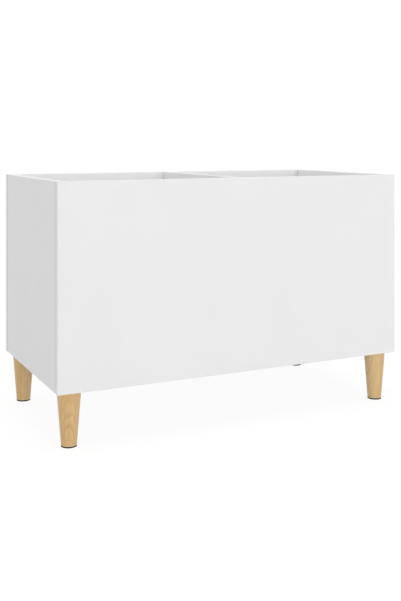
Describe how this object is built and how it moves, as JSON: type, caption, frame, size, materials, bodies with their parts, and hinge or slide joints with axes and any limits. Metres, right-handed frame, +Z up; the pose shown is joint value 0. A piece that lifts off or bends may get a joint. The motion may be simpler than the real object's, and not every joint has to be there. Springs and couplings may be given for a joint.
{
  "type": "record cabinet",
  "caption": "Open-topped white board box on short tapered wooden legs, divided front to back into upright bins for vinyl records.",
  "frame": {"origin": "on the floor, under the middle of the cabinet", "axes": "+X to the right across the width, +Y to the back, +Z up; the front panel faces -Y"},
  "size_m": [0.745, 0.38, 0.4825],
  "materials": {
    "white_board": "satin",
    "edge_banding": "satin",
    "leg_wood": "satin",
    "foot_felt": "matte",
    "zinc_steel": "satin",
    "cam_metal": "satin",
    "cap_plastic": "satin",
    "dowel_wood": "matte"
  },
  "bodies": {
    "root": {"front_panel": "white_board", "back_panel": "white_board", "left_side_panel": "white_board", "right_side_panel": "white_board", "divider_panel": "white_board", "bottom_panel": "white_board", "front_edge_banding": "edge_banding", "back_edge_banding": "edge_banding", "left_side_edge_banding": "edge_banding", "right_side_edge_banding": "edge_banding", "divider_edge_banding": "edge_banding", "leg_front_left": "leg_wood", "leg_front_right": "leg_wood", "leg_back_left": "leg_wood", "leg_back_right": "leg_wood", "foot_pad_front_left": "foot_felt", "foot_pad_front_right": "foot_felt", "foot_pad_back_left": "foot_felt", "foot_pad_back_right": "foot_felt", "hanger_bolts": "zinc_steel", "insert_nuts": "zinc_steel", "cam_bolts_left_side": "zinc_steel", "cam_bolts_right_side": "zinc_steel", "cam_bolts_divider": "zinc_steel", "cam_bolts_bottom": "zinc_steel", "cam_locks_left_side": "cam_metal", "cam_locks_right_side": "cam_metal", "cam_locks_divider": "cam_metal", "cam_locks_bottom": "cam_metal", "cam_caps_left_side": "cap_plastic", "cam_caps_right_side": "cap_plastic", "cam_caps_divider": "cap_plastic", "dowels_left_side": "dowel_wood", "dowels_right_side": "dowel_wood", "dowels_divider": "dowel_wood", "dowels_bottom": "dowel_wood"}
  },
  "joints": []
}
